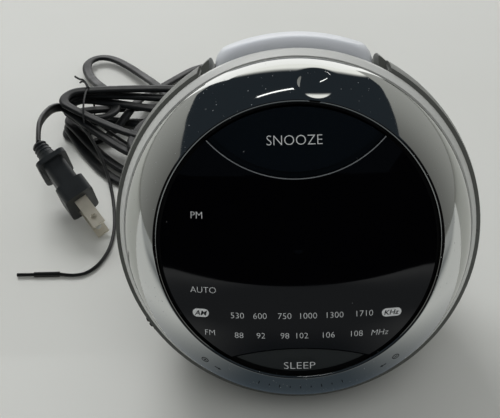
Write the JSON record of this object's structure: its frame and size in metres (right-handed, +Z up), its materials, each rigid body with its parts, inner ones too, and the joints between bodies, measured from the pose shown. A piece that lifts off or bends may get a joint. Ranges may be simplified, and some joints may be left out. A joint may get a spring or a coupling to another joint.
{
  "type": "clock radio",
  "caption": "Ball-shaped clock radio leaning back on a flat base, with a turning jog ring round a black dial, lens keys, a top panel, thumbwheels, a battery door and a tied mains cord.",
  "frame": {"origin": "on the table under the middle of the radio, at the bottom centre of its bounding box without the cords, in the plane of the four feet", "axes": "+Z up, the dial looks along -Y and up, +X to the right of a person facing the dial"},
  "size_m": [0.2063, 0.2891, 0.1321],
  "materials": {
    "shell_grey": "satin",
    "silver": "metallic paint",
    "lens_black": "gloss",
    "key_black": "gloss",
    "key_grey": "satin",
    "button_grey": "satin",
    "black_plastic": "moulded",
    "pointer_red": "moulded",
    "board": "laminate",
    "steel": "plated",
    "copper": "enamelled wire",
    "ferrite": "sintered",
    "cone": "paper",
    "rubber_black": "matt",
    "blade_metal": "nickel plated"
  },
  "bodies": {
    "housing": {"upper_shell": "shell_grey", "lower_shell": "shell_grey", "rubber_feet": "rubber_black", "housing_screws": "steel", "front_band": "silver", "face_frame": "black_plastic", "face_screws": "steel", "jog_encoder": "black_plastic", "dial_lens": "lens_black", "display_board": "board", "display_module": "black_plastic", "key_switches": "black_plastic", "control_plate": "black_plastic", "tuning_capacitor": "black_plastic", "volume_control": "black_plastic", "dial_string": "cone", "pointer_rail": "steel", "main_board": "board", "board_pillars": "black_plastic", "ferrite_antenna": "ferrite", "antenna_holder": "black_plastic", "transformer_coil": "copper", "transformer_core": "steel", "speaker_frame": "black_plastic", "speaker_cone": "cone", "speaker_magnet": "ferrite", "top_panel": "silver", "panel_board": "board", "panel_switches": "black_plastic", "function_switch": "black_plastic", "battery_contacts": "steel", "strain_relief": "rubber_black", "wire_bush": "black_plastic", "cord_from_clock": "rubber_black", "cord_loop": "rubber_black", "cord_to_plug": "rubber_black", "cord_hank": "rubber_black", "twist_tie": "rubber_black", "plug_body": "rubber_black", "plug_blades": "blade_metal", "wire_from_clock": "rubber_black", "wire_to_sleeve": "rubber_black", "antenna_sleeve": "rubber_black"},
    "jog_ring": {"jog_ring": "silver", "jog_gear": "black_plastic"},
    "encoder_pinion": {"encoder_pinion": "black_plastic"},
    "snooze_key": {"snooze_key": "key_black"},
    "sleep_key": {"sleep_key": "key_grey"},
    "tuning_wheel": {"tuning_wheel": "black_plastic"},
    "volume_wheel": {"volume_wheel": "black_plastic"},
    "idler_pulley": {"idler_pulley": "black_plastic"},
    "tuning_pointer": {"tuning_pointer": "pointer_red"},
    "alarm_button": {"alarm_button": "button_grey"},
    "clock_button": {"clock_button": "button_grey"},
    "hour_button": {"hour_button": "button_grey"},
    "minute_button": {"minute_button": "button_grey"},
    "function_knob": {"function_knob": "black_plastic"},
    "battery_door": {"battery_door": "black_plastic"}
  },
  "joints": [
    {"name": "jog_ring_turn", "type": "hinge", "parent": "housing", "child": "jog_ring", "pos_m": [0, -0.008, 0.0625], "axis": [0, -0.9063, 0.4226], "continuous": true},
    {"name": "encoder_pinion_turn", "type": "hinge", "parent": "housing", "child": "encoder_pinion", "pos_m": [-0.054, -0.008, 0.0625], "axis": [0, -0.9063, 0.4226], "continuous": true},
    {"name": "snooze_key_press", "type": "slide", "parent": "housing", "child": "snooze_key", "axis": [0, 0.9063, -0.4226], "range_m": [0, 0.0015], "stiffness_N_per_m": 800, "springref_m": -0.001},
    {"name": "sleep_key_press", "type": "slide", "parent": "housing", "child": "sleep_key", "axis": [0, 0.9063, -0.4226], "range_m": [0, 0.0015], "stiffness_N_per_m": 800, "springref_m": -0.001},
    {"name": "tuning_wheel_turn", "type": "hinge", "parent": "housing", "child": "tuning_wheel", "pos_m": [0.04618, -0.02116, 0.03427], "axis": [0, -0.9063, 0.4226], "range_deg": [-10.5, 217.7]},
    {"name": "tuning_pointer_slide", "type": "slide", "parent": "housing", "child": "tuning_pointer", "axis": [1, 0, 0], "range_m": [-0.0436, 0.0022]},
    {"name": "idler_pulley_turn", "type": "hinge", "parent": "housing", "child": "idler_pulley", "pos_m": [-0.03, -0.01783, 0.04143], "axis": [0, -0.9063, 0.4226], "range_deg": [-34.5, 703.5]},
    {"name": "volume_wheel_turn", "type": "hinge", "parent": "housing", "child": "volume_wheel", "pos_m": [-0.05115, -0.02258, 0.03123], "axis": [0, -0.9063, 0.4226], "range_deg": [-135, 135]},
    {"name": "alarm_button_press", "type": "slide", "parent": "housing", "child": "alarm_button", "axis": [0, -0.4226, -0.9063], "range_m": [0, 0.0008], "stiffness_N_per_m": 1000, "springref_m": -0.0008},
    {"name": "clock_button_press", "type": "slide", "parent": "housing", "child": "clock_button", "axis": [0, -0.4226, -0.9063], "range_m": [0, 0.0008], "stiffness_N_per_m": 1000, "springref_m": -0.0008},
    {"name": "hour_button_press", "type": "slide", "parent": "housing", "child": "hour_button", "axis": [0, -0.4226, -0.9063], "range_m": [0, 0.0008], "stiffness_N_per_m": 1000, "springref_m": -0.0008},
    {"name": "minute_button_press", "type": "slide", "parent": "housing", "child": "minute_button", "axis": [0, -0.4226, -0.9063], "range_m": [0, 0.0008], "stiffness_N_per_m": 1000, "springref_m": -0.0008},
    {"name": "function_knob_slide", "type": "slide", "parent": "housing", "child": "function_knob", "axis": [1, 0, 0], "range_m": [0, 0.008]},
    {"name": "battery_door_swing", "type": "hinge", "parent": "housing", "child": "battery_door", "pos_m": [0, -0.0288, 0.0024], "axis": [-1, 0, 0], "range_deg": [0, 95]}
  ],
  "couplings": [
    {"joint": "encoder_pinion_turn", "follows": "jog_ring_turn", "ratio": 10},
    {"joint": "tuning_pointer_slide", "follows": "tuning_wheel_turn", "m_per_rad": -0.01145},
    {"joint": "idler_pulley_turn", "follows": "tuning_wheel_turn", "ratio": 3.2254}
  ]
}
